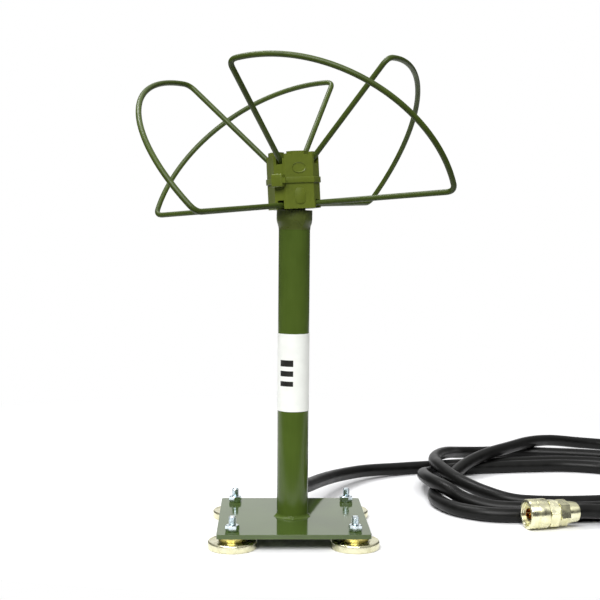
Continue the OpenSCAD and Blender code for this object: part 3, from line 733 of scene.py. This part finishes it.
bmesh.ops.scale(tie, vec=BLOCK_SIZE * MM, verts=block)
bmesh.ops.bevel(tie, geom=list({e for v in block for e in v.link_edges}), offset=0.9 * MM,
                offset_type="OFFSET", affect="EDGES", segments=4, profile=0.5, material=-1)
locking = [v for v in tie.verts if abs(v.co.x) < 3 * MM and abs(v.co.y) < 5 * MM
           and abs(v.co.z) < 5 * MM]
tail = bmesh.ops.create_cube(tie, size=1)["verts"]
bmesh.ops.scale(tie, vec=TAIL_SIZE * MM, verts=tail)
bmesh.ops.translate(tie, vec=(1.1 * MM, 5.0 * MM, 0), verts=tail)
stand = (Matrix.Rotation(math.radians(-45), 4, "Z")
         @ Matrix.Translation(((CHAMFER_FACE + 2.35) * MM, 0, (TIE_LOW + TIE_HIGH) / 2 * MM)))
bmesh.ops.transform(tie, matrix=stand, verts=locking + tail)
finished("tie_painted", tie, ENAMEL_HEAD, ("cable_tie",), place=HUB_FRAME,
         smooth=math.radians(45))

# %% [markdown]
# ## Wire loops
#
# Each loop is one piece of 3.7 mm wire, about 416 mm long, bent on a jig: a leg out of the head,
# a sharp bend, a long arc, a second bend, and a leg back to the axis. A circle is extruded step
# by step along that line and turned with it, which is how a bender works too. One of the loops
# has been knocked, and sags by 1.7 degrees.

# %% The loop's centreline
CAGE_FRAME = (Matrix.Translation((-0.0004, 0, 0.2237))
              @ Matrix.Rotation(math.radians(-4.2), 4, "Y"))
LOOP_TURN, LOOP_TILT = math.radians(-31.4), math.radians(50)
ARC_CENTRE, ARC_R = (17, 16.4), 100.3
ARC_FROM, ARC_TO = math.radians(-9.4), math.radians(98)
LEG_START, BEND, APEX_Z, APEX_GAP, WIRE_R = 7.5, 6.0, 13.1, 4.0, 1.85


def on_tilt(u, v):
    """A point of the loop's tilted plane, in mm."""
    return Vector((u, -v * math.cos(LOOP_TILT), v * math.sin(LOOP_TILT)))


def on_arc(a):
    return on_tilt(ARC_CENTRE[0] + ARC_R * math.cos(a), ARC_CENTRE[1] + ARC_R * math.sin(a))


def bend_round(a, b, c, steps=10):
    return [(1 - t) ** 2 * a + 2 * t * (1 - t) * b + t * t * c
            for t in (i / steps for i in range(steps + 1))]


def straight(a, b, steps=24):
    return [a.lerp(b, i / steps) for i in range(steps)]


corner_angle = BEND / ARC_R
outer, top = on_arc(ARC_FROM), on_arc(ARC_TO)
apex = Vector((0, 0, APEX_Z))
leg_end = apex + APEX_GAP * (top - apex).normalized()
first_bend = bend_round(outer - Vector((BEND, 0, 0)), outer, on_arc(ARC_FROM + corner_angle))
last_bend = bend_round(on_arc(ARC_TO - corner_angle), top,
                       top + BEND * (leg_end - top).normalized())
arc_span = ARC_TO - ARC_FROM - 2 * corner_angle
centreline = (straight(Vector((LEG_START, 0, 0)), first_bend[0]) + first_bend
              + [on_arc(ARC_FROM + corner_angle + arc_span * i / 72) for i in range(1, 72)]
              + last_bend + straight(last_bend[-1], leg_end)[1:] + [leg_end])
print("wire length in mm:",
      round(sum((b - a).length for a, b in zip(centreline, centreline[1:]))))


# %% Bending the four loops
def bent_wire(line, radius, sides=20):
    """A round rod along a line of points in mm."""
    bm = bmesh.new()
    ways = [(line[min(i + 1, len(line) - 1)] - line[max(i - 1, 0)]).normalized()
            for i in range(len(line))]
    verts = bmesh.ops.create_circle(bm, cap_ends=False, radius=radius * MM, segments=sides)["verts"]
    start = Vector((0, 0, 1)).rotation_difference(ways[0]).to_matrix()
    bmesh.ops.rotate(bm, verts=verts, matrix=start, cent=(0, 0, 0))
    bmesh.ops.translate(bm, verts=verts, vec=line[0] * MM)
    edges = bm.edges[:]
    for here, there, way, next_way in zip(line, line[1:], ways, ways[1:]):
        step = bmesh.ops.extrude_edge_only(bm, edges=edges)["geom"]
        verts = [g for g in step if isinstance(g, bmesh.types.BMVert)]
        edges = [g for g in step if isinstance(g, bmesh.types.BMEdge)]
        bmesh.ops.translate(bm, verts=verts, vec=(there - here) * MM)
        bmesh.ops.rotate(bm, verts=verts, cent=there * MM,
                         matrix=way.rotation_difference(next_way).to_matrix())
    bmesh.ops.holes_fill(bm, edges=[e for e in bm.edges if e.is_boundary], sides=sides)
    return bm


SAGS = {"front_right": 0, "back_right": 0, "back_left": 0, "front_left": 1.7}   # degrees
for quarter, (place_name, sag) in enumerate(SAGS.items()):
    wire = bent_wire(centreline, WIRE_R)
    finished(f"wire_{place_name}", wire, ENAMEL_WIRE, (f"loop_{place_name}",),
             place=CAGE_FRAME @ Matrix.Rotation(LOOP_TURN + quarter * math.pi / 2, 4, "Z")
             @ Matrix.Rotation(math.radians(sag), 4, "Y"))

# %% [markdown]
# ## Inside the head
#
# What joins the wires to the lead hides behind the resin, and a glimpse of it shows in the slots:
# the tinned ring on the shield, the stripped lead, and the solder. The designed shapes are right,
# so those nodes stay and only take their finishes.

# %% Finishes of the inner pieces
INNER = {"shield_ring": SOLDER_TIN, "centre_solder": SOLDER_TIN, "riser_core": PTFE_WHITE,
         "riser_conductor": COPPER_WIRE, "plug_insulator": PTFE_WHITE,
         "retaining_ring": SPRING_STEEL, "plug_cable_end": PVC_JACKET}
INNER.update({f"magnet_disc_{corner_name}": MAGNET_GREY for corner_name in CORNERS})
for node_name, finish in INNER.items():
    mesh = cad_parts[node_name].data
    mesh.materials.clear()
    mesh.materials.append(finish)
print("inner nodes finished:", len(INNER))

# %% [markdown]
# ## Plug
#
# The plug is turned from brass bar and nickel plated. Its pieces share one axis, which is Z in
# the plug's own frame, so each is spun there and then placed. The coupling nut is the piece that
# moves: it turns freely on the barrel. Its thread is a rib, spun round the axis with a rise of
# 1.06 mm in each turn.

# %% Coupling nut
THREAD_R, THREAD_TIP_R, THREAD_PITCH, THREAD_FOOT = 7.95, 7.42, 1.058, 1.0
COUPLING_R, COUPLING_L = 10.4, 14.2
COUPLING_PROFILE = [
    (THREAD_R + 0.45, 0), (9.55, 0), (9.95, 0.12), (10.25, 0.4), (COUPLING_R, 0.9),
    (COUPLING_R, 5.35), (10.3, 5.5), (10.05, 5.7), (10.05, 6.2), (10.3, 6.4),
    (COUPLING_R, 6.55), (COUPLING_R, 13.3), (10.25, 13.75), (9.9, 14.1), (9.5, COUPLING_L),
    (6.2, COUPLING_L), (6.05, 14.05), (6.05, 12.65), (6.9, 12.65), (6.9, 11.4),
    (6.05, 11.4), (6.05, 9.8), (THREAD_R, 9.8), (THREAD_R, 0.5)]
coupling = lathe(bmesh.new(), COUPLING_PROFILE, steps=120)
STEPS_A_TURN, TURNS = 48, 6
tooth = [coupling.verts.new((r * MM, 0, (THREAD_FOOT + share * THREAD_PITCH) * MM))
         for r, share in ((THREAD_R + 0.1, 0), (THREAD_TIP_R, 0.44), (THREAD_TIP_R, 0.56),
                          (THREAD_R + 0.1, 1))]
sides = [coupling.edges.new((tooth[i], tooth[(i + 1) % 4])) for i in range(4)]
bmesh.ops.spin(coupling, geom=tooth + sides, cent=(0, 0, 0), axis=(0, 0, 1),
               dvec=(0, 0, THREAD_PITCH * MM / STEPS_A_TURN), angle=math.tau * TURNS,
               steps=STEPS_A_TURN * TURNS, use_merge=False, use_duplicate=False)
bmesh.ops.holes_fill(coupling, edges=[e for e in coupling.edges if e.is_boundary], sides=4)
finished("coupling_ring", coupling, NICKEL_PLUG, ("coupling_nut",), NUT_BODY,
         PLUG_FRAME)

# %% Barrel with its hexagon, and the clamp nut
HEX_TURN, CLAMP_TURN = math.radians(20), math.radians(42)
barrel = lathe(bmesh.new(), [(4.15, 6), (5.8, 6), (6, 6.2), (6, 11.4), (5.4, 11.4), (5.4, 12.6),
                             (6, 12.6), (6, 14.6)] + shoulders(18, 14.6, 21.6, 0.6, 8.7)
               + [(8, 21.62), (8, 22.38), (5.25, 22.38), (5.25, 10), (4.15, 10)], steps=120)
mill_flats(barrel, 18, 14.6, 21.6, HEX_TURN)
finished("plug_barrel", barrel, NICKEL_PLUG, ("plug_body",), place=PLUG_FRAME,
         smooth=math.radians(25))

clamp = lathe(bmesh.new(), [(5.25, 22.7), (5.5, 22.42)] + shoulders(16, 22.42, 30, 0.6, 7.6)
              + [(7.8, 30.02), (7.75, 30.4), (7.0, 36.2), (6.75, 37.2), (6.5, 37.75),
                 (6.2, 37.98), (5.4, 37.98), (5.2, 37.7)], steps=120)
mill_flats(clamp, 16, 22.42, 30, CLAMP_TURN)
finished("clamp_ring", clamp, NICKEL_PLUG, ("clamp_nut",), place=PLUG_FRAME,
         smooth=math.radians(25))

# %% Gasket, contacts and pin
finished("gasket_ring", lathe(bmesh.new(), [(6.0, 8.45), (7.35, 8.45), (7.6, 8.7), (7.6, 9.3),
                                            (7.35, 9.6), (6.0, 9.6)], steps=72),
         SILICONE_RED, ("plug_gasket",), place=PLUG_FRAME)
# The slotted contact's gold colour is a painted reflection, the warm tint of light bouncing inside
# the plug's plated bore.
dressed("contact_sleeve", "slotted_contact_painted_reflection", GOLD_AND_WARM_REFLECTION, 0.12)
pin_profile = [(0, 2.4), (0.25, 2.43), (0.45, 2.56), (0.62, 2.85), (0.76, 3.2), (0.83, 3.6),
               (0.83, 7.2), (1.5, 7.8), (1.5, 18), (0, 18)]
finished("gold_pin", lathe(bmesh.new(), pin_profile, steps=40), GOLD_AND_WARM_REFLECTION,
         ("centre_pin",), place=PLUG_FRAME)

# %% [markdown]

# %% [markdown]
# ## Table and light
#
# The table is a plain matt white sheet that runs out into white. The room is white straight behind
# the antenna and bright overhead, which gives the wires their bright upper sides. It is dim at the
# sides and on the viewer's side, so that the enamel and the black lead keep their depth. A large
# soft box in front lights the whole object, and a small one, high at the back left, models the
# round mast. What the camera sees beyond the table is plain white.

# %% Table
TABLE_R, TABLE_MIDDLE = 1.1, Vector((0.1, 0.96, -0.00005))
WHITE_FROM, WHITE_TO = 0.32, 0.65      # metres from the mast, where the sheet runs out into white
table_finish, tree, shader, place = new_finish("matt_white_table")
weave = add(tree, "ShaderNodeTexNoise", {"Vector": place, "Scale": 1 / 0.004, "Detail": 2.0})
tone = add(tree, "ShaderNodeMix", {0: weave.outputs["Fac"], MIX_A: linear("#e7e7e9"),
                                   MIX_B: linear("#ebebec")}, data_type="RGBA")
tree.links.new(tone.outputs[MIX_COLOUR], shader.inputs["Base Color"])
shader.inputs["Roughness"].default_value = 0.7
reach = add(tree, "ShaderNodeVectorMath", {0: place}, operation="LENGTH")
far = add(tree, "ShaderNodeMapRange", {"Value": reach.outputs["Value"], "From Min": WHITE_FROM,
                                       "From Max": WHITE_TO}, interpolation_type="SMOOTHSTEP")
glow = add(tree, "ShaderNodeEmission", {"Color": (1, 1, 1, 1), "Strength": 1.0})
blend = add(tree, "ShaderNodeMixShader", {0: far.outputs["Result"], 1: shader.outputs["BSDF"],
                                          2: glow.outputs["Emission"]})
output = next(n for n in tree.nodes if n.bl_idname == "ShaderNodeOutputMaterial")
tree.links.new(blend.outputs["Shader"], output.inputs["Surface"])
sheet = bmesh.new()
bmesh.ops.create_circle(sheet, cap_ends=True, radius=TABLE_R, segments=96)
bmesh.ops.translate(sheet, verts=sheet.verts, vec=TABLE_MIDDLE)
table_mesh = bpy.data.meshes.new("table")
sheet.to_mesh(table_mesh)
sheet.free()
table_mesh.materials.append(table_finish)
table = bpy.data.objects.new("table", table_mesh)
bpy.context.scene.collection.objects.link(table)
print("table radius in m:", TABLE_R)

# %% Room and soft boxes
DIM, OVERHEAD = 0.12, 0.7      # brightness of the room's sides and ceiling; the back has 1
world = bpy.data.worlds.new("studio")
bpy.context.scene.world = world
world.use_nodes = True
tree = world.node_tree
tree.nodes.clear()
way = add(tree, "ShaderNodeTexCoord").outputs["Generated"]
parts = add(tree, "ShaderNodeSeparateXYZ", {"Vector": way})
aside = add(tree, "ShaderNodeMath", {0: parts.outputs["X"]}, operation="ABSOLUTE")
behind = add(tree, "ShaderNodeMath", {0: aside.outputs[0], 1: -1.6, 2: parts.outputs["Y"]},
             operation="MULTIPLY_ADD")
back = add(tree, "ShaderNodeMapRange", {"Value": behind.outputs[0], "From Min": 0.3,
                                        "From Max": 0.62, "To Min": DIM, "To Max": 1.0},
           interpolation_type="SMOOTHSTEP")
top = add(tree, "ShaderNodeMapRange", {"Value": parts.outputs["Z"], "From Min": 0.42,
                                       "From Max": 0.68, "To Min": 0.0, "To Max": OVERHEAD},
          interpolation_type="SMOOTHSTEP")
both = add(tree, "ShaderNodeMath", {0: back.outputs["Result"], 1: top.outputs["Result"]},
           operation="MAXIMUM")
seen = add(tree, "ShaderNodeLightPath").outputs["Is Camera Ray"]
strength = add(tree, "ShaderNodeMath", {0: both.outputs[0], 1: seen}, operation="MAXIMUM")
room = add(tree, "ShaderNodeBackground", {"Color": (1, 1, 1, 1), "Strength": strength.outputs[0]})
add(tree, "ShaderNodeOutputWorld", {"Surface": room.outputs["Background"]})


LIT_MIDDLE = Vector((0, 0, 0.12))


def soft_box(name, where, size, power):
    """A rectangular lamp that faces the middle of the antenna."""
    light = bpy.data.lights.new(name, "AREA")
    light.shape = "RECTANGLE"
    light.size, light.size_y = size
    light.energy = power
    holder = bpy.data.objects.new(name, light)
    bpy.context.scene.collection.objects.link(holder)
    holder.location = where
    holder.rotation_euler = (LIT_MIDDLE - Vector(where)).to_track_quat("-Z", "Y").to_euler()
    print(name, "at", where, power, "W")


soft_box("overhead_box", (-0.4, 0.35, 1.35), (0.45, 0.45), 9)
soft_box("front_box", (-0.25, -1.05, 1.15), (1.3, 0.9), 32)
bpy.context.scene.view_settings.view_transform = "Standard"
